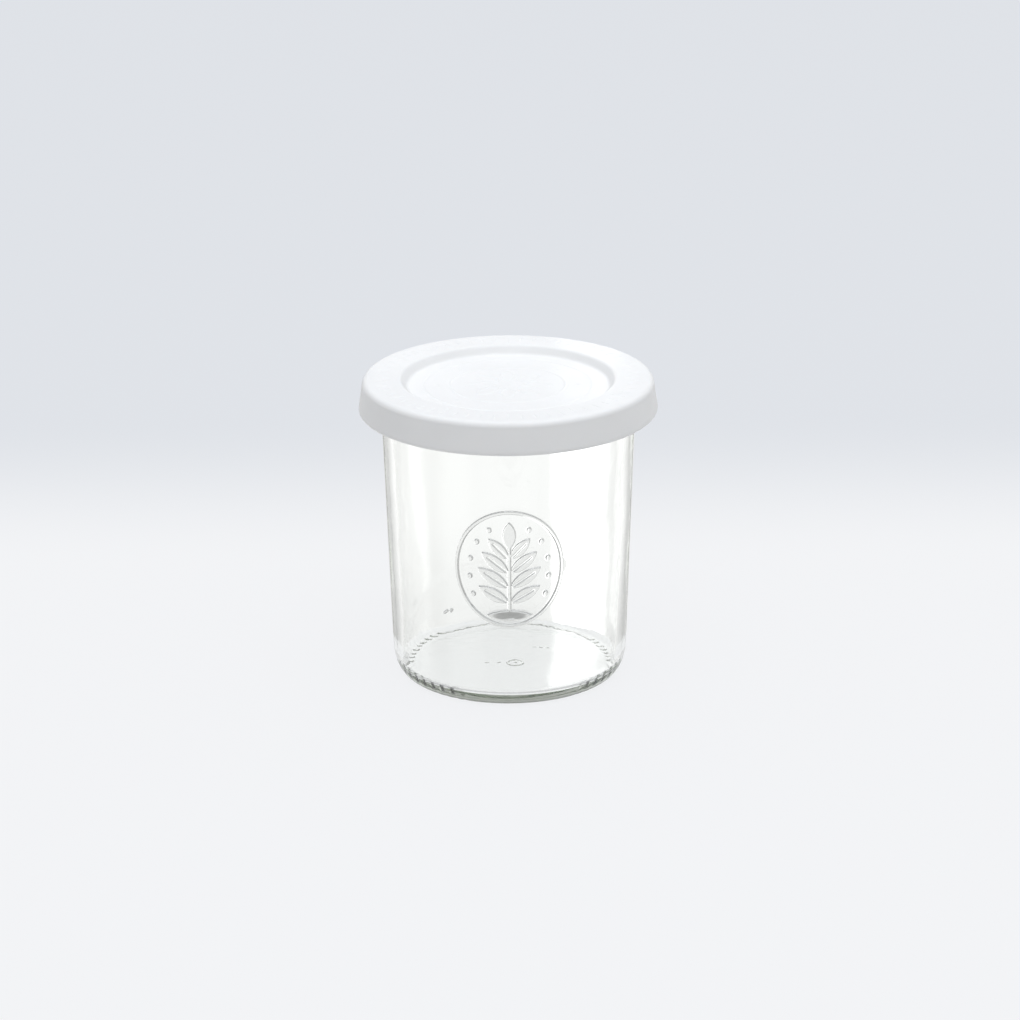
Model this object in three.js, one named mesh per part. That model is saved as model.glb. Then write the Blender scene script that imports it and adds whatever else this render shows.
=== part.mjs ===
// A small straight-sided glass canning jar with a white push-on plastic lid.
// Millimetres, +Z up. The origin is the centre of the foot ring, on the surface the jar stands on.

import * as THREE from 'three';

// How finely the round forms are cut.
const SEGMENTS = 72;
const ARC_DIVISIONS = 3;

// Jar, outside.
const FOOT_RING_INNER_RADIUS = 22.6;
const FOOT_RING_OUTER_RADIUS = 24.4;
const HEEL_HEIGHT = 7.2;
const BODY_RADIUS_AT_HEEL = 27.8;
const BODY_RADIUS_AT_NECK = 29.8;
const NECK_HEIGHT = 65.0;
const RIM_RADIUS = 32.9;
const RIM_UNDERSIDE_HEIGHT = 66.9;
const RIM_EDGE_ROUNDING = 0.9;
const JAR_HEIGHT = 70.6;

// Jar, inside and underside.
const WALL = 2.4;
const MOUTH_EDGE_ROUNDING = 0.9;
const FLOOR_FILLET = 3.2;
const FLOOR_EDGE_HEIGHT = 2.6;
const FLOOR_CENTRE_HEIGHT = 3.4;
const PUSH_UP_HEIGHT = 1.0;
const PUSH_UP_SHOULDER_RADIUS = 20.8;
const PUSH_UP_SHOULDER_HEIGHT = 0.7;

// Lid.
const LID_GAP = 0.3;
const LID_TOP_HEIGHT = 72.2;
const LID_SKIRT_BOTTOM_HEIGHT = 64.4;
const LID_RADIUS_AT_BOTTOM = 35.0;
const LID_RADIUS_AT_TOP = 34.2;
const LID_TOP_ROUNDING = 1.4;
const LID_BOTTOM_ROUNDING = 0.4;
const LID_INNER_ROUNDING = 0.5;
const LID_WALL = 1.2;
const RECESS_LIP_RADIUS = 25.2;
const RECESS_FOOT_RADIUS = 23.6;
const RECESS_DEPTH = 1.8;
const SNAP_BEAD_RADIUS = 0.8;
const SNAP_BEAD_HEIGHT = 65.6;

// A path in the half plane (radius, height) is turned about the upright axis.
function turned(path) {
  const geometry = new THREE.LatheGeometry(path.getPoints(ARC_DIVISIONS), SEGMENTS);
  geometry.rotateX(Math.PI / 2);
  return geometry;
}

// Underside: a shallow push-up that drops round a shoulder to the flat foot ring.
function drawUnderside(path) {
  path.moveTo(0, PUSH_UP_HEIGHT);
  path.quadraticCurveTo(
    PUSH_UP_SHOULDER_RADIUS / 2, PUSH_UP_HEIGHT,
    PUSH_UP_SHOULDER_RADIUS, PUSH_UP_SHOULDER_HEIGHT,
  );
  path.quadraticCurveTo(
    FOOT_RING_INNER_RADIUS - PUSH_UP_SHOULDER_HEIGHT, PUSH_UP_SHOULDER_HEIGHT,
    FOOT_RING_INNER_RADIUS, 0,
  );
  path.lineTo(FOOT_RING_OUTER_RADIUS, 0);
}

// Outside: the rounded heel, the slightly widening body, and the cove under the rim.
function drawOutside(path) {
  path.absellipse(
    FOOT_RING_OUTER_RADIUS, HEEL_HEIGHT,
    BODY_RADIUS_AT_HEEL - FOOT_RING_OUTER_RADIUS, HEEL_HEIGHT,
    -Math.PI / 2, 0,
  );
  path.lineTo(BODY_RADIUS_AT_NECK, NECK_HEIGHT);
  path.quadraticCurveTo(
    BODY_RADIUS_AT_NECK, RIM_UNDERSIDE_HEIGHT,
    BODY_RADIUS_AT_NECK + RIM_UNDERSIDE_HEIGHT - NECK_HEIGHT, RIM_UNDERSIDE_HEIGHT,
  );
}

// Rim: a thick band that stands out from the body, with rounded edges and a flat top.
function drawRim(path, mouthRadius) {
  const edgeCentre = RIM_RADIUS - RIM_EDGE_ROUNDING;
  path.absarc(edgeCentre, RIM_UNDERSIDE_HEIGHT + RIM_EDGE_ROUNDING, RIM_EDGE_ROUNDING, -Math.PI / 2, 0);
  path.absarc(edgeCentre, JAR_HEIGHT - RIM_EDGE_ROUNDING, RIM_EDGE_ROUNDING, 0, Math.PI / 2);
  path.absarc(
    mouthRadius + MOUTH_EDGE_ROUNDING, JAR_HEIGHT - MOUTH_EDGE_ROUNDING, MOUTH_EDGE_ROUNDING,
    Math.PI / 2, Math.PI,
  );
}

// Inside: the wall down to the fillet, then the floor, a little higher at its centre.
function drawInside(path) {
  const wallFoot = BODY_RADIUS_AT_HEEL - WALL;
  const filletCentre = wallFoot - FLOOR_FILLET;
  path.absarc(filletCentre, FLOOR_EDGE_HEIGHT + FLOOR_FILLET, FLOOR_FILLET, 0, -Math.PI / 2, true);
  path.quadraticCurveTo(filletCentre / 2, FLOOR_CENTRE_HEIGHT, 0, FLOOR_CENTRE_HEIGHT);
}

function jarGeometry() {
  const path = new THREE.Path();
  drawUnderside(path);
  drawOutside(path);
  drawRim(path, BODY_RADIUS_AT_NECK - WALL);
  drawInside(path);
  return turned(path);
}

// Lid inside: the underside of the sunk centre, the channel that takes the rim, and the snap bead.
function drawLidUnderside(path) {
  const channelInner = RECESS_LIP_RADIUS + LID_WALL;
  const channelOuter = RIM_RADIUS + LID_GAP;
  const channelTop = JAR_HEIGHT + LID_GAP;
  const recessUnderside = LID_TOP_HEIGHT - RECESS_DEPTH - LID_WALL;
  path.moveTo(0, recessUnderside);
  path.lineTo(RECESS_FOOT_RADIUS + LID_WALL / 2, recessUnderside);
  path.lineTo(channelInner, channelTop);
  path.absarc(
    channelOuter - LID_INNER_ROUNDING, channelTop - LID_INNER_ROUNDING, LID_INNER_ROUNDING,
    Math.PI / 2, 0, true,
  );
  path.absarc(channelOuter, SNAP_BEAD_HEIGHT, SNAP_BEAD_RADIUS, Math.PI / 2, Math.PI * 3 / 2);
}

// Lid outside: the skirt, narrower towards its top, the rounded top edge and the sunk centre.
function drawLidOutside(path) {
  const recessTop = LID_TOP_HEIGHT - RECESS_DEPTH;
  path.absarc(
    LID_RADIUS_AT_BOTTOM - LID_BOTTOM_ROUNDING, LID_SKIRT_BOTTOM_HEIGHT + LID_BOTTOM_ROUNDING,
    LID_BOTTOM_ROUNDING, -Math.PI / 2, 0,
  );
  path.absarc(
    LID_RADIUS_AT_TOP - LID_TOP_ROUNDING, LID_TOP_HEIGHT - LID_TOP_ROUNDING, LID_TOP_ROUNDING,
    0, Math.PI / 2,
  );
  path.lineTo(RECESS_LIP_RADIUS, LID_TOP_HEIGHT);
  path.lineTo(RECESS_FOOT_RADIUS, recessTop);
  path.lineTo(0, recessTop);
}

function lidGeometry() {
  const path = new THREE.Path();
  drawLidUnderside(path);
  path.lineTo(RIM_RADIUS + LID_GAP, LID_SKIRT_BOTTOM_HEIGHT);
  drawLidOutside(path);
  return turned(path);
}

function clearGlass() {
  return new THREE.MeshStandardMaterial({
    color: 0xeef2ee, roughness: 0.03, metalness: 0, transparent: true, opacity: 0.35,
  });
}

function whitePlastic() {
  return new THREE.MeshStandardMaterial({ color: 0xf3f5f8, roughness: 0.4, metalness: 0 });
}

function named(name, geometry, material) {
  const mesh = new THREE.Mesh(geometry, material);
  mesh.name = name;
  return mesh;
}

const canningJar = new THREE.Group();
canningJar.add(named('glass_jar', jarGeometry(), clearGlass()));
canningJar.add(named('snap_lid', lidGeometry(), whitePlastic()));

export default canningJar;
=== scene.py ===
"""The looks of a small glass canning jar with a white push-on plastic lid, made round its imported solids.

The jar and the lid are turned forms: a profile in the half plane (radius, height) is carried round the
upright axis, and low relief is added along the profile's normal. Lengths are metres, angles are degrees.
"""

import math

import bpy
import numpy as np
from bpy.props import FloatProperty, FloatVectorProperty, IntProperty, PointerProperty
from mathutils import Euler, Matrix, Vector


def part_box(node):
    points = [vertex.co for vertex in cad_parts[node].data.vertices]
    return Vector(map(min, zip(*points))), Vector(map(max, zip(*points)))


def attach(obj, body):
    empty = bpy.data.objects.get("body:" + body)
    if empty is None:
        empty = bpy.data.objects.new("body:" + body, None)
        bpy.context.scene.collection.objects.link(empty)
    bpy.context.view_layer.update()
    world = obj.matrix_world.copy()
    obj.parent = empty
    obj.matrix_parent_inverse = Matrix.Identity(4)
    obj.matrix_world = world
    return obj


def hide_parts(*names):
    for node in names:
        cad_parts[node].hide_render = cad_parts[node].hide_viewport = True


bl_info = {
    "name": "Canning jar",
    "version": (1, 0, 0),
    "blender": (4, 5, 0),
    "location": "View3D > Sidebar > Canning jar",
    "description": "A small glass canning jar with a white push-on lid, in a pale studio",
    "category": "Add Mesh",
}

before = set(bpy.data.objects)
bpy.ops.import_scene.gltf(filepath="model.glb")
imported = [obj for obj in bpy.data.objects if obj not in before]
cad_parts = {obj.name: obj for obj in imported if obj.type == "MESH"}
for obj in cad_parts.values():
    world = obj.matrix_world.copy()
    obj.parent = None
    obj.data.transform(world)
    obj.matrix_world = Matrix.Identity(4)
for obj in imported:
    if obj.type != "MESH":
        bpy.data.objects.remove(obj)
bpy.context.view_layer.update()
JAR_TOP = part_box("glass_jar")[1]
LID_BOTTOM, LID_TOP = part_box("snap_lid")

MM = 0.001
FRONT = 270.0
FULL_TURN = 360.0
# Name of the glass attribute that holds painted shade for the colour, and extra roughness.
FROST_AND_SHADE = "frost_and_shade"


# Sizes and finishes that a user would change.


def length(name, description, millimetres):
    """A length property, given in millimetres and kept in metres."""
    return FloatProperty(
        name=name, description=description, default=millimetres * MM, unit="LENGTH", precision=5
    )


class JarSizes(bpy.types.PropertyGroup):
    """Sizes of the glass."""

    foot_inner_radius: length("Foot inner radius", "Inside of the flat foot ring", 23.4)
    foot_outer_radius: length("Foot outer radius", "Outside of the flat foot ring", 24.4)
    heel_radius: length("Heel radius", "Outside of the body above the heel", 27.8)
    heel_height: length("Heel height", "Height of the rounded heel", 7.2)
    neck_radius: length("Neck radius", "Outside of the body under the rim", 29.8)
    neck_height: length("Neck height", "Height where the body starts to widen to the rim", 65.0)
    rim_underside: length("Rim underside", "Height of the rim's lower face", 66.9)
    rim_rounding: length("Rim rounding", "Radius of the rim's edges", 0.9)
    wall: length("Wall", "Thickness of the glass wall", 2.4)
    fillet_height: length("Fillet height", "Height of the round between the inner wall and the floor", 2.0)
    fillet_width: length("Fillet width", "Width of the round between the inner wall and the floor", 2.0)
    floor_edge: length("Floor edge", "Height of the inner floor at its edge", 2.6)
    floor_centre: length("Floor centre", "Height of the inner floor at its centre", 3.4)
    push_up: length("Push-up", "Height of the hollow under the base", 1.0)
    push_up_radius: length("Push-up radius", "Radius of the hollow under the base", 22.2)
    push_up_edge: length("Push-up edge", "Height of the hollow at its edge", 0.12)
    ornament_height: length("Ornament height", "Height of the ornament's centre above the foot", 35.0)
    ornament_relief: length("Ornament relief", "How far the ornament stands out", 0.42)
    knurl_depth: length("Knurl depth", "Depth of the grooves between the foot's knurl bars", 0.20)
    knurl_bars: IntProperty(name="Knurl bars", description="Bars in a full turn of the foot", default=60)


class LidSizes(bpy.types.PropertyGroup):
    """Sizes of the plastic lid."""

    top_radius: length("Top radius", "Outside of the skirt at its top", 34.2)
    top_rounding: length("Top rounding", "Height of the round top edge", 1.5)
    top_edge_width: length("Top edge width", "Width of the round top edge", 1.35)
    bottom_rounding: length("Bottom rounding", "Radius of the skirt's lower edge", 0.8)
    wall: length("Wall", "Thickness of the lid", 1.2)
    gap: length("Gap", "Room between the lid and the glass", 0.3)
    lip_radius: length("Lip radius", "Where the sunk centre starts", 25.2)
    sunk_radius: length("Sunk radius", "Radius of the sunk centre's floor", 23.6)
    sunk_depth: length("Sunk depth", "Depth of the sunk centre", 1.8)
    inner_rounding: length("Inner rounding", "Radius inside the channel that takes the rim", 0.5)
    step_rounding: length("Step rounding", "Rounding of the step's two edges", 0.55)
    bead_radius: length("Bead radius", "Radius of the snap bead", 0.8)
    bead_height: length("Bead height", "Height of the snap bead", 65.6)
    relief: length("Relief", "How far the marks on the lid stand out or are sunk", 0.13)
    ticks: IntProperty(name="Ticks", description="Tick marks round the lid's outer ring", default=60)


class Finishes(bpy.types.PropertyGroup):
    """Colours of the glass and the plastic."""

    glass: FloatVectorProperty(
        name="Glass", description="Colour at the surface of the glass",
        subtype="COLOR", size=3, min=0, max=1, default=(0.995, 1.0, 0.995),
    )
    # Painted shade: the colour the glass is greyed towards on the ornament's steepest edges, in the knurl's
    # grooves, along the heel's lower edge and under the base.
    painted_shade_glass: FloatVectorProperty(
        name="Painted shade on glass", description="Colour of the ornament's steepest edges and the knurl's grooves",
        subtype="COLOR", size=3, min=0, max=1, default=(0.05, 0.05, 0.05),
    )
    glass_depth: FloatVectorProperty(
        name="Glass depth", description="Colour of the light that thick glass lets through",
        subtype="COLOR", size=3, min=0, max=1, default=(0.67, 0.74, 0.61),
    )
    glass_density: FloatProperty(
        name="Glass density", description="How soon thick glass takes its colour, for each metre",
        default=13.5, min=0,
    )
    plastic: FloatVectorProperty(
        name="Plastic", description="Colour of the white polyethylene",
        subtype="COLOR", size=3, min=0, max=1, default=(0.80, 0.80, 0.795),
    )


class Studio(bpy.types.PropertyGroup):
    """Camera and light."""

    distance: length("Distance", "From the camera to the point it looks at", 972.2)
    elevation: FloatProperty(
        name="Elevation", description="Angle of the camera above the horizon",
        default=math.radians(19.608), subtype="ANGLE",
    )
    roll: FloatProperty(
        name="Roll", description="Turn of the camera about its line of sight",
        default=math.radians(0.396), subtype="ANGLE",
    )
    target_height: length("Target height", "Height of the point the camera looks at", 39.24)
    target_side: length("Target side", "Sideways place of the point the camera looks at", 0.26)
    lens: FloatProperty(name="Lens", description="Focal length in millimetres", default=145.2)
    near_floor: FloatVectorProperty(
        name="Near floor", description="Colour of the floor round the jar",
        subtype="COLOR", size=3, min=0, max=1, default=(0.880, 0.888, 0.905),
    )
    far_floor: FloatVectorProperty(
        name="Far floor", description="Colour of the floor behind the jar",
        subtype="COLOR", size=3, min=0, max=1, default=(0.737, 0.760, 0.799),
    )


# Node trees.


class Value:
    """One output of a node tree. Arithmetic on numbers adds Math nodes."""

    def __init__(self, tree, socket):
        self.tree = tree
        self.socket = socket

    def math(self, operation, *others):
        """A Math node with this value as its first input."""
        return self.tree.add("ShaderNodeMath", {"operation": operation}, dict(enumerate((self, *others))))

    def __add__(self, other):
        return self.math("ADD", other)

    def __mul__(self, other):
        return self.math("MULTIPLY", other)

    def __sub__(self, other):
        return self.math("SUBTRACT", other)

    def __rsub__(self, other):
        return self.math("MULTIPLY", -1.0).math("ADD", other)

    __radd__ = __add__
    __rmul__ = __mul__

    def ramp(self, low, high):
        """0 below low, 1 above high, and a smooth step between them."""
        return self.tree.add(
            "ShaderNodeMapRange",
            {"interpolation_type": "SMOOTHSTEP"},
            {"Value": self, "From Min": low, "From Max": high},
        )


class NodeTree:
    """The node tree of a material or a world, emptied and ready to be filled."""

    def __init__(self, owner):
        owner.use_nodes = True
        self.tree = owner.node_tree
        self.tree.nodes.clear()

    def add(self, kind, settings=None, sockets=None, output=0):
        """Adds a node of a type, sets its settings, then its sockets by name, identifier or number."""
        node = self.tree.nodes.new(kind)
        for key, setting in (settings or {}).items():
            setattr(node, key, setting)
        for key, item in (sockets or {}).items():
            socket = self.find(node.inputs, key)
            if isinstance(item, Value):
                self.tree.links.new(item.socket, socket)
            else:
                socket.default_value = item
        return Value(self, self.find(node.outputs, output)) if node.outputs else None

    @staticmethod
    def find(sockets, key):
        """The first socket with a number, an identifier or a name."""
        if isinstance(key, int):
            return sockets[key]
        return [s for s in sockets if key in (s.identifier, s.name)][0]

    def place(self):
        """Object coordinates, in metres."""
        return self.add("ShaderNodeTexCoord", output="Object")

    def axis(self, vector, name):
        """One axis of a vector."""
        return self.add("ShaderNodeSeparateXYZ", {}, {"Vector": vector}, output=name)

    def noise(self, scale, detail=2.0, roughness=0.5):
        """Noise on the object coordinates, with scale waves for each metre."""
        return self.add(
            "ShaderNodeTexNoise", {},
            {"Vector": self.place(), "Scale": scale, "Detail": detail, "Roughness": roughness},
        )

    def blend(self, factor, first, second):
        """A colour between two colours."""
        return self.add(
            "ShaderNodeMix", {"data_type": "RGBA"},
            {"Factor_Float": factor, "A_Color": first, "B_Color": second}, output="Result_Color",
        )

    def grey(self, level):
        """A grey colour with a level."""
        return self.add("ShaderNodeCombineXYZ", {}, {"X": level, "Y": level, "Z": level})

    def bump(self, height, distance, strength=1.0):
        """A normal that is tilted by a height, which counts for distance metres."""
        return self.add(
            "ShaderNodeBump", {}, {"Height": height, "Distance": distance, "Strength": strength}
        )


def opaque(colour):
    """A colour with full alpha, as the sockets want it."""
    return (*colour, 1.0)


def glass_material(looks):
    """Clear container glass: faintly wavy, a little green where light runs through much of it.

    The ornament and the knurl are rougher, as the etched parts of a mould leave them. They are also greyer
    by painted shade, which stands in for the dark refraction at the ornament's steep sides and the shade
    round the heel. The underside is a little greyer by painted shade too.
    """
    material = bpy.data.materials.new("clear_container_glass")
    tree = NodeTree(material)
    waves = tree.noise(70.0, detail=1.0)
    orange_peel = tree.noise(420.0, detail=2.0)
    # Painted shade: the attribute greys the base colour where the ornament's steep sides and the heel
    # should look dark. It also makes the glass rougher there.
    frost_and_shade = tree.add("ShaderNodeAttribute", {"attribute_name": FROST_AND_SHADE}, output="Fac")
    shader = tree.add(
        "ShaderNodeBsdfPrincipled", {},
        {
            "Base Color": tree.blend(frost_and_shade, opaque(looks.glass), opaque(looks.painted_shade_glass)),
            "Roughness": orange_peel.ramp(0.35, 0.75) * 0.02 + frost_and_shade * 0.12,
            "IOR": 1.51,
            "Transmission Weight": 1.0,
            "Normal": tree.bump(waves + orange_peel * 0.12, 0.00012),
        },
    )
    depth = tree.add(
        "ShaderNodeVolumeAbsorption", {},
        {"Color": opaque(looks.glass_depth), "Density": looks.glass_density},
    )
    tree.add("ShaderNodeOutputMaterial", {}, {"Surface": shader, "Volume": depth})
    return material


def plastic_material(looks):
    """White polyethylene from a finely blasted mould: satin, a little cloudy, lit through at thin edges."""
    material = bpy.data.materials.new("white_polyethylene")
    tree = NodeTree(material)
    clouds = tree.noise(55.0, detail=3.0)
    grain = tree.noise(2600.0, detail=2.0)
    tone = tuple(channel * 0.975 for channel in looks.plastic)
    shader = tree.add(
        "ShaderNodeBsdfPrincipled", {},
        {
            "Base Color": tree.blend(clouds.ramp(0.35, 0.7), opaque(looks.plastic), opaque(tone)),
            "Roughness": clouds.ramp(0.3, 0.7) * 0.08 + 0.36,
            "IOR": 1.5,
            "Specular IOR Level": 0.12,
            "Subsurface Weight": 0.25,
            "Subsurface Radius": (0.9, 0.95, 1.0),
            "Subsurface Scale": 0.0012,
            "Normal": tree.bump(grain, 0.00002, 0.6),
        },
    )
    tree.add("ShaderNodeOutputMaterial", {}, {"Surface": shader})
    return material


# Profiles: arrays of (radius, height) points.


def line(first, last, count):
    """Even steps from first to last."""
    share = np.linspace(0, 1, count + 1)[:, None]
    return (1 - share) * np.array(first) + share * np.array(last)


def arc(centre, radii, start, end, count):
    """An arc of an ellipse: the centre, plus each radius times the cosine or sine of the angle.

    The angle goes from start to end in even steps of degrees.
    """
    t = np.radians(np.linspace(start, end, count + 1))[:, None]
    return np.array(centre) + np.hstack([radii[0] * np.cos(t), radii[1] * np.sin(t)])


def bend(first, pull, last, count):
    """A quadratic curve from first to last, which leaves and arrives on lines through pull.

    Each point is (1-t) squared times first, plus 2t(1-t) times pull, plus t squared times last, for t in
    even steps from 0 to 1.
    """
    t = np.linspace(0, 1, count + 1)[:, None]
    return (1 - t) ** 2 * np.array(first) + 2 * t * (1 - t) * np.array(pull) + t**2 * np.array(last)


def joined(*stretches):
    """Stretches end to end, each without a first point that repeats the last one."""
    kept = [stretches[0]]
    for stretch in stretches[1:]:
        repeats = np.allclose(kept[-1][-1], stretch[0], atol=1e-9)
        kept.append(stretch[1:] if repeats else stretch)
    return np.vstack(kept)


def smooth(share):
    """A smooth step: three times the square of the share less twice its cube, the share held in 0 to 1."""
    s = np.clip(share, 0, 1)
    return s * s * (3 - 2 * s)


def window(x, low, high, soft):
    """1 between low and high, falling smoothly to 0 over a width of soft outside them."""
    return smooth((x - low) / soft + 1) * smooth((high - x) / soft + 1)


def ridge(distance, half_width, side=None):
    """A raised line: 1 at distance 0, 0 from half_width on, with a cosine fall that is side wide."""
    side = side or half_width
    return 0.5 + 0.5 * np.cos(np.pi * np.clip((np.abs(distance) - half_width) / side + 1, 0, 1))


# Turned forms.


def turned_points(profile, angles, relief):
    """Each profile point at each angle, moved along the profile's outward normal by the relief there."""
    along = np.gradient(profile, axis=0)
    along /= np.maximum(np.hypot(along[:, 0], along[:, 1]), 1e-12)[:, None]
    turn = np.radians(angles)[None, :]
    r, z = profile[:, :1], profile[:, 1:]
    height = relief(r, z, angles[None, :])
    radius = r + height * along[:, 1:]
    level = z - height * along[:, :1] + 0 * turn
    return np.stack([radius * np.cos(turn), radius * np.sin(turn), level], axis=2)


def grid_quads(index):
    """Quads of a grid of point numbers, rows first along the profile and columns along the turn."""
    return np.stack([index[:-1, :-1], index[:-1, 1:], index[1:, 1:], index[1:, :-1]], axis=2).reshape(-1, 4)


def zipped(coarse, coarse_places, fine, fine_places):
    """Triangles between two rows of points, each with its places along the row, coarse row first.

    Each edge of the fine row joins the coarse point that is nearer to its middle, and each edge of the
    coarse row joins the fine point where that choice changes.
    """
    middles = (fine_places[1:] + fine_places[:-1]) / 2
    centres = (coarse_places[1:] + coarse_places[:-1]) / 2
    near = np.searchsorted(centres, middles, side="left")
    change = np.searchsorted(middles, centres, side="right")
    fans = np.stack([coarse[near], fine[1:], fine[:-1]], axis=1)
    webs = np.stack([coarse[:-1], coarse[1:], fine[change]], axis=1)
    return np.vstack([fans, webs])


def closed(ring, angles):
    """A ring and its angles, with the first point again at the end."""
    return np.append(ring, ring[0]), np.append(angles, angles[0] + FULL_TURN)


class TurnedShell:
    """A closed surface made band by band, in the order of its profile, whose two ends are on the axis."""

    def __init__(self):
        self.points, self.quads, self.triangles = [], [], []
        self.count = 0
        self.start = None
        self.last = None

    def number(self, points):
        """Adds points and gives their numbers, in the same shape."""
        shape = points.shape[:-1]
        self.points.append(points.reshape(-1, 3))
        first, self.count = self.count, self.count + self.points[-1].shape[0]
        return np.arange(first, self.count).reshape(shape)

    def join(self, ring, angles):
        """Joins the last ring to a new one: by quads, or by triangles where their angles differ."""
        if self.last is None:
            return
        (before, before_angles), (after, after_angles) = closed(*self.last), closed(ring, angles)
        if len(before) == len(after):
            self.quads.append(grid_quads(np.stack([before, after])))
        elif len(before) < len(after):
            self.triangles.append(zipped(before, before_angles, after, after_angles))
        else:
            self.triangles.append(zipped(after, after_angles, before, before_angles)[:, ::-1])

    def pole(self, height, first):
        """Closes the surface with one point on the axis, at the start or the end of the profile."""
        centre = self.number(np.array([[0, 0, height]]))[0]
        if first:
            self.start = centre
            return
        ring = closed(*self.last)[0]
        self.triangles.append(np.stack([ring[:-1], ring[1:], 0 * ring[1:] + centre], axis=1))

    def band(self, profile, angles, relief):
        """A stretch of the profile with the same angles all along."""
        index = self.number(turned_points(profile, angles, relief))
        if self.last is None:
            ring = closed(index[0], angles)[0]
            self.triangles.append(np.stack([0 * ring[1:] + self.start, ring[1:], ring[:-1]], axis=1))
        self.join(index[0], angles)
        self.quads.append(grid_quads(np.hstack([index, index[:, :1]])))
        self.last = index[-1], angles

    def band_with_window(self, profile, angles, window_angles, stride, relief):
        """A stretch of the profile with a finely divided window in it.

        Outside the window the surface has only each stride-th point of the profile. The last point of
        the profile is one of those.
        """
        low, high = window_angles[0], window_angles[-1]
        before, after = angles[angles < low - 0.5], angles[angles > high + 0.5]
        around = np.concatenate([after, before + FULL_TURN])
        outside = self.number(turned_points(profile[::stride], around, relief))
        inside = self.number(turned_points(profile, window_angles, relief))
        rows = np.arange(len(profile), dtype=float)
        self.quads += [grid_quads(outside), grid_quads(inside)]
        self.triangles.append(zipped(outside[:, -1], rows[::stride], inside[:, 0], rows)[:, ::-1])
        self.triangles.append(zipped(outside[:, 0], rows[::stride], inside[:, -1], rows))
        split = len(after)
        rings = [np.concatenate([outside[r, split:], inside[r], outside[r, :split]]) for r in (0, -1)]
        ring_angles = np.concatenate([before, window_angles, after])
        self.join(rings[0], ring_angles)
        self.last = rings[1], ring_angles

    def piece(self, name):
        """The mesh object of the whole surface."""
        return mesh_from(name, np.vstack(self.points), np.vstack(self.quads), np.vstack(self.triangles))


def mesh_from(name, points, quads, triangles):
    """A smooth-shaded mesh object at the origin."""
    corners = np.concatenate([quads.ravel(), triangles.ravel()]).astype(np.int32)
    sizes = np.concatenate([np.full(len(quads), 4), np.full(len(triangles), 3)])
    starts = np.concatenate([[0], np.cumsum(sizes)[:-1]]).astype(np.int32)
    mesh = bpy.data.meshes.new(name)
    mesh.vertices.add(len(points))
    mesh.vertices.foreach_set("co", points.astype(np.float32).ravel())
    mesh.loops.add(len(corners))
    mesh.loops.foreach_set("vertex_index", corners)
    mesh.polygons.add(len(sizes))
    mesh.polygons.foreach_set("loop_start", starts)
    mesh.update(calc_edges=True)
    mesh.validate()
    mesh.shade_smooth()
    piece = bpy.data.objects.new(name, mesh)
    bpy.context.scene.collection.objects.link(piece)
    return piece


def round_angles(step, *extra):
    """Angles of a full turn in even steps, with extra ones, sorted."""
    angles = np.concatenate([np.arange(0, FULL_TURN, step), *[np.asarray(e) % FULL_TURN for e in extra]])
    return np.unique(np.round(angles, 6))


def plain(r, z, angles):
    """No relief."""
    return 0 * (r + angles)


# The jar.

# Degrees between the points of a turn: of plain glass, of the knurl and of the ornament.
PLAIN_STEP = 2.0
KNURL_STEP = 0.75
ORNAMENT_STEP = 0.3

# The ornament's half width and half height, the fine rows above and below it, the angles from the
# front that its finely divided window spans, and how many of its rows go to one plain row.
ORNAMENT_WIDTH = 12.0 * MM
ORNAMENT_TALL = 14.0 * MM
ORNAMENT_MARGIN = 1.2 * MM
ORNAMENT_WINDOW = (-33.0, 26.1)
ORNAMENT_STRIDE = 10

# Where the mould's two halves met.
MOULD_SEAMS = (0.0, 180.0)
SEAM_HALF_WIDTH = 0.8

# The radii between which the knurl comes up on the foot ring, its heights on the heel, how softly they
# end, its share of the foot ring's depth there, and the two stretches of the turn without it.
KNURL_ON_FOOT = (23.0 * MM, 23.6 * MM)
KNURL_ON_HEEL = (2.0 * MM, 3.6 * MM)
KNURL_END = 0.4 * MM
KNURL_HEEL_SHARE = 0.3
FRONT_GAP = (248.0, 304.0)
BACK_GAP = (32.0, 132.0)

# The heights of the painted shade along the heel's lower edge, and how softly it ends.
HEEL_EDGE_SHADE_ZONE = (0.0, 0.8 * MM)
HEEL_EDGE_SHADE_END = 0.5 * MM

# How grey the glass is, as painted shade: on the ornament for its height and for its slope, on the knurl's
# bars and in its grooves, along the lower edge of the heel, and under the base.
HEIGHT_GREY = 0.22
SLOPE_GREY = 1.4
BAR_GREY = 0.36
GROOVE_GREY = 1.0
HEEL_EDGE_SHADE_GREY = 0.5
BASE_SHADE_GREY = 0.08


def seam_angles():
    """Extra angles that draw the two mould seams."""
    offsets = np.linspace(-SEAM_HALF_WIDTH, SEAM_HALF_WIDTH, 7)
    return np.concatenate([seam + offsets for seam in MOULD_SEAMS])


def wave(r, z, angles):
    """The slight unevenness of pressed glass: four sine waves of turn and height, a few hundredths high."""
    t = np.radians(angles)
    h = z / (10 * MM)
    slow = np.sin(2 * t + 0.9 * h + 0.4) + 0.7 * np.sin(3 * t - 1.3 * h + 2.1)
    quick = 0.5 * np.sin(5 * t + 1.9 * h + 1.0) + 0.3 * np.sin(8 * t - 2.6 * h + 4.0)
    return 0.02 * MM * (slow + quick)


def outer_wave(r, z, angles):
    """The outside is truer than the inside, and has two fine upright mould seams."""
    seam = sum(ridge((angles - s + 180) % FULL_TURN - 180, SEAM_HALF_WIDTH) for s in MOULD_SEAMS)
    return 0.25 * wave(r, z, angles) + 0.04 * MM * seam


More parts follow.
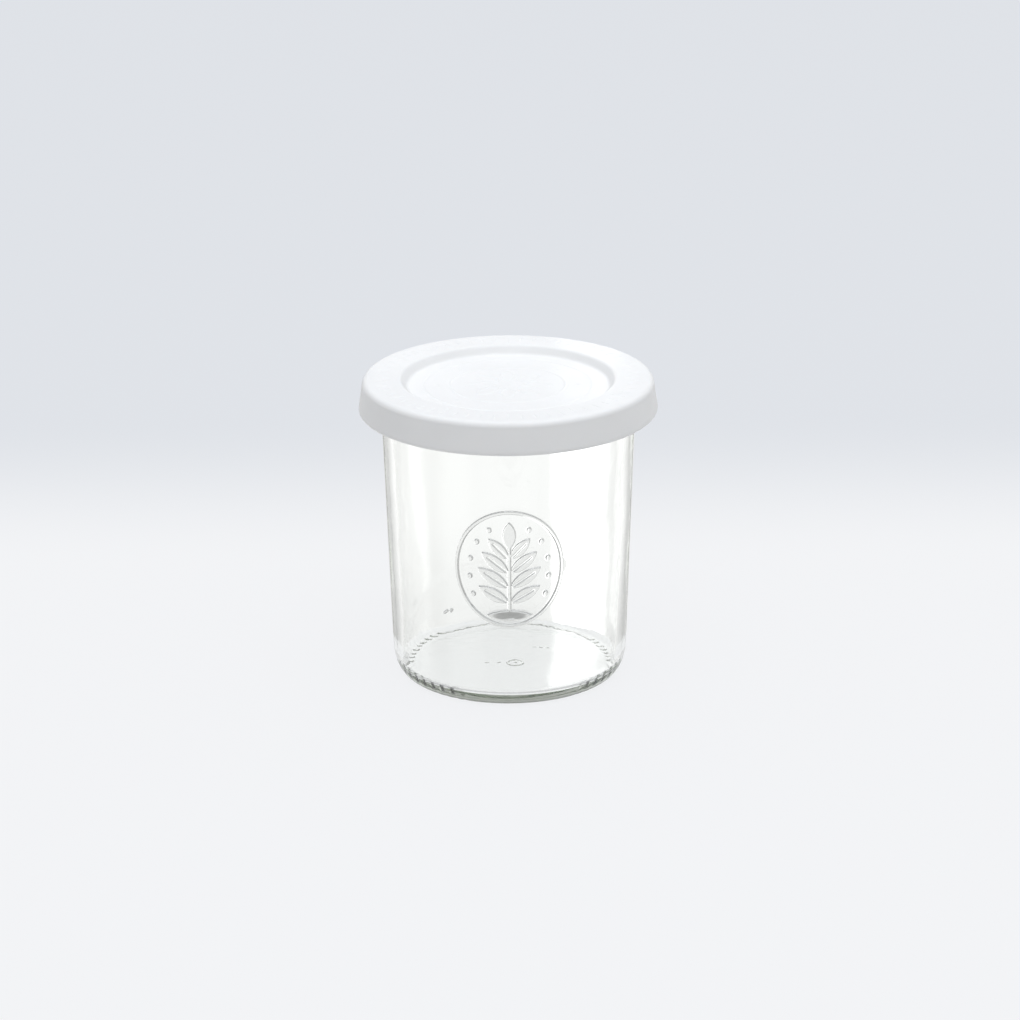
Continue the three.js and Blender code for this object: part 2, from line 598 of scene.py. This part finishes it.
def ellipse_distance(x, y, a, b):
    """Roughly the distance from an ellipse: k times k less one, over g.

    k is the radius with its axes scaled by the half axes, and g the radius with them scaled twice.
    """
    k = np.hypot(x / a, y / b)
    g = np.maximum(np.hypot(x / a**2, y / b**2), 1e-9)
    return k * (k - 1) / g


def leaf_distance(x, y, half_length, half_width):
    """Distance from the outline of a leaf: two equal arcs that meet in points on the y axis."""
    x, y = np.abs(x), np.abs(y)
    radius = (half_length**2 + half_width**2) / (2 * half_width)
    inset = radius - half_width
    past_tip = (y - half_length) * inset > x * half_length
    return np.where(past_tip, np.hypot(x, y - half_length), np.hypot(x + inset, y) - radius)


def turned_about(x, y, base, lean, reach):
    """Coordinates in a leaf that starts at base, leans from upright by lean degrees and is 2 reach long."""
    a = math.radians(lean)
    cx, cy = base[0] + reach * math.sin(a), base[1] + reach * math.cos(a)
    return (x - cx) * math.cos(a) - (y - cy) * math.sin(a), (x - cx) * math.sin(a) + (y - cy) * math.cos(a)


def stroke_distance(x, y, start, end):
    """Distance from a straight stroke: from its point that is the share t of the way from start to end.

    t is the nearest point's share, held in 0 to 1.
    """
    dx, dy = end[0] - start[0], end[1] - start[1]
    t = np.clip(((x - start[0]) * dx + (y - start[1]) * dy) / (dx * dx + dy * dy), 0, 1)
    return np.hypot(x - start[0] - t * dx, y - start[1] - t * dy)


def filled(distance, side):
    """A flat raised field, 1 where distance is negative, with a cosine fall that is side wide."""
    return ridge(np.maximum(distance, 0), side, side)


def ornament(x, y):
    """The height of a plain oval frame round an upright sprig on a low mound, from 0 to 1.

    The sprig's leaves have sunk veins, and dots stand beside them. Two short strokes stand to the left
    of the frame.
    """
    side, steep = np.abs(x), 0.24 * MM
    height = ridge(ellipse_distance(x, y, ORNAMENT_WIDTH, ORNAMENT_TALL), 0.48 * MM, steep)
    stem = stroke_distance(side, y, (0, -10.4 * MM), (0, 5.2 * MM))
    height = np.maximum(height, ridge(stem, 0.46 * MM, steep))
    leaves = [(-8.2, 60, 3.7, 1.3), (-4.5, 55, 4.0, 1.35), (-0.8, 50, 3.7, 1.3), (2.7, 42, 3.1, 1.15)]
    for start, lean, reach, wide in leaves:
        u, v = turned_about(side, y, (0.3 * MM, start * MM), lean, reach * MM)
        leaf = filled(leaf_distance(u, v, reach * MM, wide * MM), steep)
        vein = ridge(stroke_distance(u, v, (0, -reach * MM), (0, 0.55 * reach * MM)), 0.36 * MM, steep)
        height = np.maximum(height, leaf - 0.8 * vein)
    height = np.maximum(height, filled(leaf_distance(x, y - 8.3 * MM, 3.1 * MM, 1.3 * MM), steep))
    mound = leaf_distance(y + 11.5 * MM, x, 4.9 * MM, 1.15 * MM)
    height = np.maximum(height, filled(mound, steep))
    for place in ((8.2, -6.4), (8.9, -2.0), (8.7, 2.4), (7.2, 6.6), (4.4, 9.6)):
        dot = np.hypot((side - place[0] * MM) / 0.8, y - place[1] * MM)
        height = np.maximum(height, filled(dot - 0.5 * MM, steep))
    for start, end in (((-15.6, -12.4), (-14.8, -11.7)), ((-13.9, -11.7), (-13.6, -11.2))):
        stroke = stroke_distance(x, y, np.array(start) * MM, np.array(end) * MM)
        height = np.maximum(height, ridge(stroke, 0.34 * MM, steep))
    return height


def ornament_frost_and_shade(sizes, points):
    """How grey the ornament is at each point, as painted shade for the dark refraction of its strokes: part
    from its height, most from its slope. 0 elsewhere. The same value also makes the glass rougher there.
    """
    turn = np.degrees(np.arctan2(points[:, 1], points[:, 0])) % FULL_TURN - FRONT
    x, y = np.radians(turn) * sizes.heel_radius, points[:, 2] - sizes.ornament_height
    near = (np.hypot(points[:, 0], points[:, 1]) > sizes.heel_radius) & (np.abs(y) < ORNAMENT_TALL * 1.1)
    near &= (turn > ORNAMENT_WINDOW[0]) & (turn < ORNAMENT_WINDOW[1])
    x, y, step = x[near], y[near], 0.05 * MM
    across = ornament(x + step, y) - ornament(x - step, y)
    up = ornament(x, y + step) - ornament(x, y - step)
    grey = np.zeros(len(points))
    grey[near] = np.clip(HEIGHT_GREY * ornament(x, y) + SLOPE_GREY * np.hypot(across, up), 0, 1)
    return grey


def heel_frost_and_shade(sizes, points):
    """How grey the glass is near the foot, as painted shade: the underside a little, and the heel at its
    knurl and its lower edge.

    The grooves of the knurl are the greyest. The heel is clear at the back, and above its edge in front.
    The same value also makes the glass rougher there.
    """
    radius, z = np.hypot(points[:, 0], points[:, 1]), points[:, 2]
    turn = np.degrees(np.arctan2(points[:, 1], points[:, 0])) % FULL_TURN
    outside = (radius > sizes.foot_outer_radius) & (z < sizes.heel_height)
    # Painted shade on the knurl: the bars grey, the grooves greyest.
    barred = BAR_GREY + (GROOVE_GREY - BAR_GREY) * knurl_grooves(sizes, turn) ** 2
    knurl = window(z, *KNURL_ON_HEEL, KNURL_END) * barred
    # Painted shade along the heel's lower edge, where it meets the floor.
    edge_shade = HEEL_EDGE_SHADE_GREY * window(z, *HEEL_EDGE_SHADE_ZONE, HEEL_EDGE_SHADE_END)
    # The painted shade lies on the front of the heel only, away from the bright screen behind.
    front = smooth((6 * MM - points[:, 1]) / (12 * MM))
    heel = outside * front * ((1 - window(turn, *FRONT_GAP, 6)) * knurl + edge_shade)
    # Painted shade under the base, which darkens the floor seen through it.
    under = (radius < sizes.push_up_radius) & (z < sizes.push_up + 0.2 * MM)
    return np.maximum(heel, BASE_SHADE_GREY * under)


def ornament_relief(sizes):
    """The ornament on the unevenness of the outside."""

    def relief(r, z, angles):
        across = np.radians((angles - FRONT + 180) % FULL_TURN - 180) * sizes.heel_radius
        drawn = ornament(across + 0 * z, z - sizes.ornament_height + 0 * across)
        return outer_wave(r, z, angles) + sizes.ornament_relief * drawn
    return relief


def knurl_grooves(sizes, angles):
    """1 in the grooves between the knurl bars and 0 on the bars, with two plain stretches."""
    pitch = FULL_TURN / sizes.knurl_bars
    share = np.abs((angles / pitch) % 1 - 0.5) * 2
    barred = 1 - sum(window(angles, low, high, pitch / 2) for low, high in (FRONT_GAP, BACK_GAP))
    return smooth((share - 0.35) / 0.45) * barred


def knurl_relief(sizes):
    """Grooves between bars: across the foot ring, and shallower ones on the lower heel."""

    def relief(r, z, angles):
        outward = smooth((r - KNURL_ON_FOOT[0]) / (KNURL_ON_FOOT[1] - KNURL_ON_FOOT[0]))
        foot = outward * smooth((0.5 * MM - z) / (0.4 * MM))
        heel = window(z, *KNURL_ON_HEEL, KNURL_END)
        return -sizes.knurl_depth * knurl_grooves(sizes, angles) * (foot + KNURL_HEEL_SHARE * heel)
    return relief


def base_marks(r, z, angles):
    """Raised mould marks under the base: a ring with a dot in it, and a few dots beside it."""
    t = np.radians(angles)
    x, y = r * np.cos(t), r * np.sin(t)
    height = ridge(np.hypot(x - 1.2 * MM, y + 4.0 * MM) - 1.7 * MM, 0.4 * MM)
    for place in ((1.2, -4.0), (-2.6, -3.8), (-5.4, -3.6), (5.8, 6.2), (7.4, 6.0), (9.0, 5.7)):
        dot = np.hypot(x - place[0] * MM, y - place[1] * MM)
        height = np.maximum(height, ridge(dot, 0.6 * MM))
    return 0.13 * MM * height


def underside_profile(s):
    """The hollow under the base, from its centre to its edge."""
    return bend((0, s.push_up), (s.push_up_radius / 2, s.push_up), (s.push_up_radius, s.push_up_edge), 84)


def foot_profile(s):
    """From the edge of the hollow round the flat foot ring, and up the heel."""
    edge = (s.push_up_radius, s.push_up_edge)
    inner, outer = (s.foot_inner_radius, 0), (s.foot_outer_radius, 0)
    heel_radii = (s.heel_radius - s.foot_outer_radius, s.heel_height)
    return joined(
        bend(edge, (s.foot_inner_radius - s.push_up_edge, s.push_up_edge), inner, 7),
        line(inner, outer, 4),
        arc((s.foot_outer_radius, s.heel_height), heel_radii, -90, 0, 24),
    )


def on_body(s, height):
    """The point of the straight outer wall at a height."""
    foot, neck = np.array((s.heel_radius, s.heel_height)), np.array((s.neck_radius, s.neck_height))
    return foot + (neck - foot) * (height - s.heel_height) / (s.neck_height - s.heel_height)


def rim_profile(s, start):
    """From the outer wall through the cove and over the thick rim to the top of the inner wall."""
    neck = (s.neck_radius, s.neck_height)
    mouth, edge, top = s.neck_radius - s.wall, JAR_TOP.x - s.rim_rounding, JAR_TOP.z - s.rim_rounding
    cove_end = (s.neck_radius + s.rim_underside - s.neck_height, s.rim_underside)
    rounding = (s.rim_rounding, s.rim_rounding)
    return joined(
        line(on_body(s, start), neck, 7),
        bend(neck, (s.neck_radius, s.rim_underside), cove_end, 6),
        arc((edge, s.rim_underside + s.rim_rounding), rounding, -90, 0, 6),
        arc((edge, top), rounding, 0, 90, 6),
        line((edge, JAR_TOP.z), (mouth + s.rim_rounding, JAR_TOP.z), 4),
        arc((mouth + s.rim_rounding, top), rounding, 90, 180, 6),
    )


def inner_profile(s):
    """From the top of the inner wall down to the floor, without its centre."""
    wall_top, wall_foot = (s.neck_radius - s.wall, JAR_TOP.z - s.rim_rounding), s.heel_radius - s.wall
    fillet, fillet_top = wall_foot - s.fillet_width, s.floor_edge + s.fillet_height
    return joined(
        line(wall_top, (wall_foot, fillet_top), 36),
        arc((fillet, fillet_top), (s.fillet_width, s.fillet_height), 0, -90, 14),
        bend((fillet, s.floor_edge), (fillet / 2, s.floor_centre), (0, s.floor_centre), 16),
    )[:-1]


def jar_mesh(s):
    """The glass, from the centre of the underside round the outside and the rim to the inner floor."""
    seams = seam_angles()
    few = round_angles(PLAIN_STEP, seams)
    many = round_angles(KNURL_STEP, seams)
    fine = FRONT + np.arange(*ORNAMENT_WINDOW, ORNAMENT_STEP)
    underside = underside_profile(s)
    near_marks = underside[:, 0] < 12.0 * MM
    foot = foot_profile(s)
    low = (foot[:, 1] < KNURL_ON_HEEL[1] + 2 * KNURL_END) | (foot[:, 0] < s.foot_outer_radius)
    pitch = math.radians(ORNAMENT_STEP) * s.heel_radius
    rows = ORNAMENT_STRIDE * round((ORNAMENT_TALL + ORNAMENT_MARGIN) / pitch / ORNAMENT_STRIDE * 2)
    bottom = s.ornament_height - rows * pitch / 2
    top = s.ornament_height + rows * pitch / 2
    glass = TurnedShell()
    glass.pole(s.push_up, first=True)
    glass.band(underside[near_marks][1:], few, base_marks)
    glass.band(underside[~near_marks][:-1:5], few, plain)
    glass.band(foot[low], many, knurl_relief(s))
    glass.band(joined(foot[~low], line(foot[-1], on_body(s, bottom - 1.0 * MM), 8)), few, outer_wave)
    middle = line(on_body(s, bottom), on_body(s, top), rows)
    glass.band_with_window(middle, few, fine, ORNAMENT_STRIDE, ornament_relief(s))
    glass.band(rim_profile(s, top + 1.0 * MM), few, outer_wave)
    glass.band(inner_profile(s)[1:], few, wave_inside)
    glass.pole(s.floor_centre, first=False)
    jar = glass.piece("jar_glass")
    # The attribute holds painted shade for the glass's colour, and the same values make it rougher.
    grey = jar.data.attributes.new(FROST_AND_SHADE, "FLOAT", "POINT")
    points = np.vstack(glass.points)
    tone = np.maximum(ornament_frost_and_shade(s, points), heel_frost_and_shade(s, points))
    grey.data.foreach_set("value", tone.astype(np.float32))
    return jar


def wave_inside(r, z, angles):
    """The inner wave fades at the mouth and towards the centre of the floor."""
    fade = smooth((68 * MM - z) / (8 * MM)) * smooth(r / (20 * MM))
    return wave(r, z, angles) * fade


class JAR_OT_glass(bpy.types.Operator):
    """Makes the glass jar with its ornament, knurled foot and uneven inner wall"""

    bl_idname = "canning_jar.glass"
    bl_label = "Glass jar"

    def execute(self, context):
        scene = context.scene
        jar = jar_mesh(scene.jar_sizes)
        jar.data.materials.append(glass_material(scene.jar_finishes))
        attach(jar, "root")
        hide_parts("glass_jar")
        return {"FINISHED"}


# The lid.

# Degrees between the points of a turn, and of one through the centre's relief, and the offsets from the
# middle of a tick mark at which its bar is drawn.
LID_STEP = 3.0
CENTRE_STEP = 1.0
TICK_OFFSETS = (-1.1, -0.75, -0.5, -0.25, 0.25, 0.5, 0.75, 1.1)


def lid_ticks(sizes):
    """Short sunk tick marks round the outer ring, like a plain dial, every fifth one longer."""
    pitch = FULL_TURN / sizes.ticks

    def relief(r, z, angles):
        turn = (angles / pitch + 0.5) % 1 - 0.5
        across = np.radians(turn * pitch) * r
        fifth = np.round(angles / pitch) % 5 == 0
        start = np.where(fifth, 27.6 * MM, 28.7 * MM)
        bar = ridge(across, 0.36 * MM) * window(r, start, 30.9 * MM, 0.35 * MM)
        return -sizes.relief * bar
    return relief


def lid_centre(sizes):
    """Two raised rings, eight dots, a rosette of eight outlined petals, and a dimple in the middle."""
    pitch = FULL_TURN / 8

    def relief(r, z, angles):
        petal = (angles / pitch + 0.5) % 1 - 0.5
        turn = np.radians(petal * pitch)
        x, y = r * np.sin(turn), r * np.cos(turn)
        outline = ridge(leaf_distance(x, y - 6.6 * MM, 3.6 * MM, 1.7 * MM), 0.42 * MM)
        rings = ridge(r - 13.5 * MM, 0.4 * MM) + ridge(r - 19.8 * MM, 0.45 * MM)
        dots = ridge(np.hypot(x, y - 16.6 * MM), 0.7 * MM)
        height = np.maximum(np.maximum(outline, rings), dots)
        dimple = 0.9 * smooth(1 - r / (2.0 * MM))
        return sizes.relief * (height - dimple)
    return relief


def lid_inner_profile(s):
    """From the lid's underside round the channel for the rim and the snap bead to the skirt's foot."""
    channel_outer, channel_top = JAR_TOP.x + s.gap, JAR_TOP.z + s.gap
    sunk_underside = LID_TOP.z - s.sunk_depth - s.wall
    sunk_edge = (s.sunk_radius + s.wall / 2, sunk_underside)
    channel_inner = (s.lip_radius + s.wall, channel_top)
    soft = s.inner_rounding
    return joined(
        line((0, sunk_underside), sunk_edge, 10),
        line(sunk_edge, channel_inner, 4),
        line(channel_inner, (channel_outer - soft, channel_top), 5),
        arc((channel_outer - soft, channel_top - soft), (soft, soft), 90, 0, 4),
        line((channel_outer, channel_top - soft), (channel_outer, s.bead_height + s.bead_radius), 4),
        arc((channel_outer, s.bead_height), (s.bead_radius, s.bead_radius), 90, 270, 10),
        line((channel_outer, s.bead_height - s.bead_radius), (channel_outer, LID_BOTTOM.z), 2),
    )[1:]


def skirt_profile(s, inner_end):
    """Round the skirt's lower edge, up its outside and over the top edge, in to a radius."""
    bottom, top, radius = LID_BOTTOM.z, LID_TOP.z, LID_TOP.x
    b, t, edge = s.bottom_rounding, s.top_rounding, s.top_radius - s.top_edge_width
    return joined(
        line((JAR_TOP.x + s.gap, bottom), (radius - b, bottom), 2),
        arc((radius - b, bottom + b), (b, b), -90, 0, 5),
        line((radius, bottom + b), (s.top_radius, top - t), 12),
        arc((edge, top - t), (s.top_edge_width, t), 0, 90, 12),
        line((edge, top), (inner_end, top), 2),
    )[1:]


def step_profile(s, start, end):
    """From the outer ring down the step to the sunk centre, with both edges rounded."""
    top, sunk_top = LID_TOP.z, LID_TOP.z - s.sunk_depth
    lip, foot = np.array((s.lip_radius, top)), np.array((s.sunk_radius, sunk_top))
    slope = (lip - foot) / np.hypot(*(lip - foot)) * s.step_rounding
    level = np.array((s.step_rounding, 0))
    return joined(
        line((start, top), lip + level, 2),
        bend(lip + level, lip, lip - slope, 5),
        line(lip - slope, foot + slope, 4),
        bend(foot + slope, foot, foot - level, 5),
        line(foot - level, (end, sunk_top), 3),
    )


def lid_mesh(s):
    """The lid, from the centre of its underside round the skirt and the top to the sunk centre."""
    few = round_angles(LID_STEP)
    pitch = FULL_TURN / s.ticks
    ticked = round_angles(LID_STEP, *[pitch * np.arange(s.ticks) + offset for offset in TICK_OFFSETS])
    ring_outer, ring_inner, centre_radius = 31.6 * MM, 27.0 * MM, 20.8 * MM
    top, sunk_top = LID_TOP.z, LID_TOP.z - s.sunk_depth
    lid = TurnedShell()
    lid.pole(sunk_top - s.wall, first=True)
    lid.band(lid_inner_profile(s), few, plain)
    lid.band(skirt_profile(s, ring_outer), few, plain)
    lid.band(line((ring_outer, top), (ring_inner, top), 22)[1:], ticked, lid_ticks(s))
    lid.band(step_profile(s, ring_inner - 0.4 * MM, centre_radius), few, plain)
    centre = line((centre_radius, sunk_top), (0, sunk_top), 96)[1:-1]
    lid.band(centre, round_angles(CENTRE_STEP), lid_centre(s))
    lid.pole(sunk_top, first=False)
    return lid.piece("lid_plastic")


class JAR_OT_lid(bpy.types.Operator):
    """Makes the white push-on lid with its sunk centre and low relief"""

    bl_idname = "canning_jar.lid"
    bl_label = "Push-on lid"

    def execute(self, context):
        scene = context.scene
        lid = lid_mesh(scene.lid_sizes)
        lid.data.materials.append(plastic_material(scene.jar_finishes))
        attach(lid, "root")
        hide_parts("snap_lid")
        return {"FINISHED"}


# The studio.

# How often light may bend or bounce: fewer leave dark lines at the edges of the glass.
GLASS_BOUNCES = 48

# The floor lies just under the foot, so that the two never share a plane. It glows, and the share of it
# that light falls on is small.
FLOOR_LEVEL = -2e-5
FLOOR_HALF_SIZE = 6.0
FLOOR_GLOW = 1.01
FLOOR_LIT_SHARE = 0.05
BACKDROP_RADIUS = 5.9
BACKDROP_HEIGHT = 3.0

# How many degrees the screen reaches to either side of straight behind the jar, and its radius, which
# is smaller near the floor behind the jar.
SCREEN_REACH = 140.0
SCREEN_RADIUS = 38.0 * MM
SCREEN_FOOT = 28.4 * MM


def add_surface(name, x, y, z, hidden_from=()):
    """A surface of the studio with its points on a grid. Rays of the kinds in hidden_from pass through."""
    grid = np.stack(np.broadcast_arrays(x, y, z), axis=2)
    index = np.arange(grid.size // 3).reshape(grid.shape[:2])
    piece = mesh_from(name, grid.reshape(-1, 3), grid_quads(index), np.zeros((0, 3), int))
    for rays in hidden_from:
        setattr(piece, f"visible_{rays}", False)
    return piece


def add_floor(studio):
    """A pale floor whose tone turns, well behind the jar, into a darker one. Gives its material."""
    side = np.array([-FLOOR_HALF_SIZE, FLOOR_HALF_SIZE])
    floor = add_surface("studio_floor", side[None, :], side[:, None], FLOOR_LEVEL)
    material = bpy.data.materials.new("floor_paper")
    tree = NodeTree(material)
    behind = tree.axis(tree.place(), "Y")
    tone = tree.blend(behind.ramp(0.070, 0.190), opaque(studio.near_floor), opaque(studio.far_floor))
    glow = tree.add("ShaderNodeEmission", {}, {"Color": tone, "Strength": FLOOR_GLOW})
    paper = tree.add("ShaderNodeBsdfDiffuse", {}, {"Color": tone})
    mixed = tree.add("ShaderNodeMixShader", {}, {"Fac": FLOOR_LIT_SHARE, 1: glow, 2: paper})
    tree.add("ShaderNodeOutputMaterial", {}, {"Surface": mixed})
    floor.data.materials.append(material)
    return material


def add_backdrop(material):
    """A round wall at the floor's edge with the floor's tones. Only the camera sees it."""
    turn = np.radians(np.linspace(0, FULL_TURN, 73))[None, :]
    level = np.array([[FLOOR_LEVEL], [BACKDROP_HEIGHT]])
    x, y = BACKDROP_RADIUS * np.cos(turn), BACKDROP_RADIUS * np.sin(turn)
    hidden_from = ("diffuse", "glossy", "transmission", "volume_scatter", "shadow")
    wall = add_surface("studio_backdrop", x, y, level, hidden_from)
    wall.data.materials.append(material)


def add_screen():
    """A glowing screen that stands round the back and the sides of the jar, hidden from the camera.

    It fills the glass with light, as a tent does. Its tone turns with the angle from straight behind the
    jar: even at the back, darker towards the sides, which greys the edges of the glass, and bright again
    beyond. An upright strip to the right of the middle is much brighter than the rest.
    """
    height = np.concatenate([np.linspace(0, 34, 12), np.linspace(45, 86, 4)])[:, None] * MM
    angle = np.linspace(-SCREEN_REACH, SCREEN_REACH, 113)[None, :]
    foot_radius = SCREEN_FOOT + (SCREEN_RADIUS - SCREEN_FOOT) * smooth((np.abs(angle) - 38) / 20)
    radius = foot_radius + (SCREEN_RADIUS - foot_radius) * smooth((height - 6 * MM) / (24 * MM))
    turn = np.radians(angle)
    x, y = radius * np.sin(turn), radius * np.cos(turn)
    screen = add_surface("studio_screen", x, y, height, ("camera", "shadow", "diffuse"))
    screen.data.materials.append(screen_material())


def screen_material():
    """The screen's tone, put together from its angle from straight behind the jar and its height."""
    material = bpy.data.materials.new("screen_white")
    tree = NodeTree(material)
    place = tree.place()
    x, y, z = (tree.axis(place, name) for name in "XYZ")
    away = x.math("ARCTAN2", y).math("ABSOLUTE") * math.degrees(1)
    beyond = away.ramp(68, 92) * 0.21
    ends = away.ramp(112, 135) * 0.32
    even = 1.02 - away.ramp(30, 50) * 0.05 + beyond - ends
    sides = (1 - away.ramp(66, 94)) * away.ramp(46, 67)
    level = even - sides * 0.37
    level = level * (z.ramp(0.0, 0.030) * 0.09 + 0.90)
    low_middle = (1 - away.ramp(6, 11)) * (1 - z.ramp(0.0030, 0.0042))
    level = level * (1 - low_middle * 0.55)
    strip = x.ramp(0.0105, 0.0135) * (1 - x.ramp(0.0235, 0.0300)) * y.ramp(0.0, 0.010)
    shader = tree.add("ShaderNodeEmission", {}, {"Color": tree.grey(level + strip), "Strength": 1.0})
    tree.add("ShaderNodeOutputMaterial", {}, {"Surface": shader})
    return material


def add_sky():
    """Soft light that is bright above and dim at the sides, which makes the lid's skirt darker."""
    world = bpy.data.worlds.new("studio_light")
    bpy.context.scene.world = world
    tree = NodeTree(world)
    ray = tree.add("ShaderNodeTexCoord", {}, {}, output="Generated")
    overhead = tree.axis(ray, "Z").ramp(0.35, 0.95)
    glow = overhead * 1.42 + 0.05 + tree.axis(ray, "X") * 0.01
    tint = tree.blend(overhead, opaque((1.0, 1.0, 1.0)), opaque((0.935, 0.955, 1.0)))
    shader = tree.add("ShaderNodeBackground", {}, {"Color": tint, "Strength": glow})
    tree.add("ShaderNodeOutputWorld", {}, {"Surface": shader})


def add_softbox(name, place, aim, size, power, tint):
    """A square soft light that points at aim."""
    data = bpy.data.lights.new(name, "AREA")
    data.shape = "SQUARE"
    data.size = size
    data.energy = power
    data.color = tint
    lamp = bpy.data.objects.new(name, data)
    lamp.location = place
    lamp.rotation_euler = (Vector(aim) - Vector(place)).to_track_quat("-Z", "Y").to_euler()
    bpy.context.scene.collection.objects.link(lamp)


def add_camera(studio):
    """The photograph's view: from in front and above, through a long lens, with a slight roll."""
    data = bpy.data.cameras.new("camera")
    data.lens = studio.lens
    data.sensor_width = 36.0
    data.clip_start, data.clip_end = 0.01, 50.0
    camera = bpy.data.objects.new("camera", data)
    target = Vector((studio.target_side, 0, studio.target_height))
    back = Vector((0, -math.cos(studio.elevation), math.sin(studio.elevation)))
    tilt = Euler((math.pi / 2 - studio.elevation, 0, 0)).to_matrix().to_4x4()
    camera.matrix_world = (
        Matrix.Translation(target + back * studio.distance) @ tilt @ Matrix.Rotation(-studio.roll, 4, "Z")
    )
    bpy.context.scene.collection.objects.link(camera)
    bpy.context.scene.camera = camera


class JAR_OT_stage(bpy.types.Operator):
    """Makes the floor, the backdrop, the screen round the back of the jar, the lights and the camera"""

    bl_idname = "canning_jar.stage"
    bl_label = "Studio"

    def execute(self, context):
        scene = context.scene
        scene.view_settings.view_transform = "Standard"
        for limit in ("max_bounces", "glossy_bounces", "transmission_bounces"):
            setattr(scene.cycles, limit, GLASS_BOUNCES)
        add_backdrop(add_floor(scene.jar_studio))
        add_screen()
        add_sky()
        add_softbox(
            "top_softbox", place=(0.07, -0.22, 0.86), aim=(0, 0, 0.05), size=0.6, power=3.2,
            tint=(0.94, 0.97, 1.0),
        )
        add_camera(scene.jar_studio)
        return {"FINISHED"}


class JAR_PT_pieces(bpy.types.Panel):
    """Lists the pieces that can be made"""

    bl_label = "Canning jar"
    bl_idname = "JAR_PT_pieces"
    bl_space_type = "VIEW_3D"
    bl_region_type = "UI"
    bl_category = "Canning jar"

    def draw(self, context):
        for operator in (JAR_OT_glass, JAR_OT_lid, JAR_OT_stage):
            self.layout.operator(operator.bl_idname)


CLASSES = (JarSizes, LidSizes, Finishes, Studio, JAR_OT_glass, JAR_OT_lid, JAR_OT_stage, JAR_PT_pieces)
GROUPS = {"jar_sizes": JarSizes, "lid_sizes": LidSizes, "jar_finishes": Finishes, "jar_studio": Studio}


def register():
    """Adds the classes, and the groups of sizes to the scene."""
    for cls in CLASSES:
        bpy.utils.register_class(cls)
    for name, group in GROUPS.items():
        setattr(bpy.types.Scene, name, PointerProperty(type=group))


def unregister():
    """Takes away what register added."""
    for name in GROUPS:
        delattr(bpy.types.Scene, name)
    for cls in reversed(CLASSES):
        bpy.utils.unregister_class(cls)


def main():
    """Makes every piece and the studio."""
    register()
    bpy.ops.canning_jar.glass()
    bpy.ops.canning_jar.lid()
    bpy.ops.canning_jar.stage()


if __name__ == "__main__":
    main()
